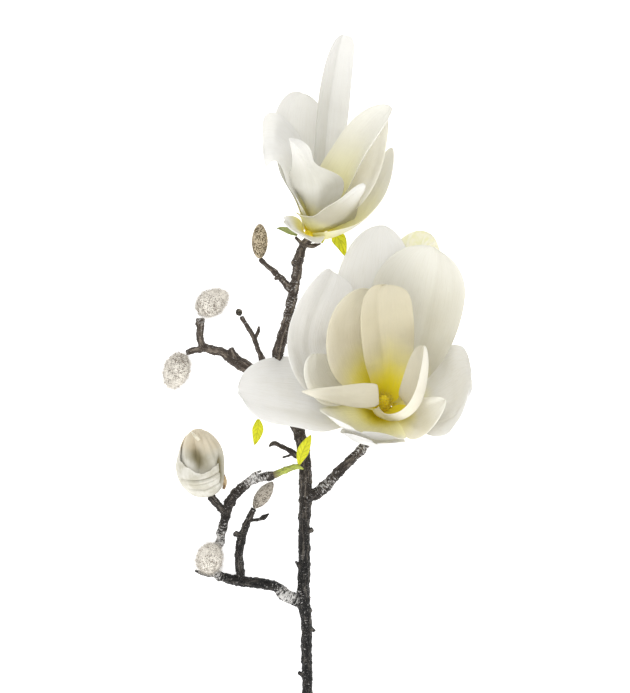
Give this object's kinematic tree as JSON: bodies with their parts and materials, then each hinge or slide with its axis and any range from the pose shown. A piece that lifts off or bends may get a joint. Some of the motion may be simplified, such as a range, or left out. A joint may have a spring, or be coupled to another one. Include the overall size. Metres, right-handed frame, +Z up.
{
  "type": "saucer magnolia branch",
  "caption": "Cut branch of a saucer magnolia lying flat, with open cream blooms, an opening bud, furry buds and small young leaves on a forked dark twig.",
  "frame": {"origin": "centre of the footprint, at the height of the surface that the branch lies on", "axes": "+X to the right as seen from above with the flowers away from the viewer, +Y along the branch from its cut end to the top flower, +Z up from the surface"},
  "size_m": [0.2055, 0.4572, 0.0812],
  "materials": {
    "bark": "rough dark bark with pale lenticels and ring scars",
    "green_shoot": "satin young green shoot",
    "leaf": "satin young leaf, bright yellow green, with fine veins",
    "pale_leaf": "matte pale young leaf",
    "tepal": "matte translucent cream white tepal with faint veins",
    "inner_tepal": "matte beige cream tepal, yellow toward its base",
    "flower_heart": "matte yellow",
    "bud_fur": "long silky cream fur over grey brown scales",
    "tan_bud": "short tan fur"
  },
  "bodies": {
    "root": {"woody_branch": "bark", "green_shoot": "green_shoot", "leaf_under_small_bloom": "leaf", "leaf_hanging": "leaf", "leaf_shoot": "leaf", "leaf_scale": "leaf", "leaf_behind_large_bloom": "pale_leaf", "furry_bud_upper": "bud_fur", "furry_bud_left": "bud_fur", "furry_bud_lower": "bud_fur", "slim_bud_lower": "bud_fur", "slim_bud_upper": "tan_bud", "round_bud": "tan_bud", "opening_bud_heart": "inner_tepal", "opening_bud_tepal_back": "tepal", "opening_bud_tepal_right": "tepal", "opening_bud_tepal_left": "tepal", "large_bloom_heart": "flower_heart", "small_bloom_heart": "flower_heart", "large_tepal_back": "tepal", "large_tepal_left": "tepal", "large_tepal_right": "tepal", "large_tepal_front": "tepal", "large_tepal_back_right": "tepal", "large_tepal_back_left": "tepal", "large_tepal_front_left": "tepal", "large_tepal_front_right": "tepal", "large_tepal_inner_back": "inner_tepal", "large_tepal_inner_back_left": "inner_tepal", "large_tepal_inner_left": "inner_tepal", "large_tepal_inner_right": "inner_tepal", "small_tepal_back": "tepal", "small_tepal_outer_right": "tepal", "small_tepal_outer_front": "tepal", "small_tepal_tall": "tepal", "small_tepal_left": "tepal", "small_tepal_right": "tepal", "small_tepal_front": "tepal", "small_tepal_upper_right": "inner_tepal", "small_tepal_front_left": "inner_tepal"}
  },
  "joints": []
}
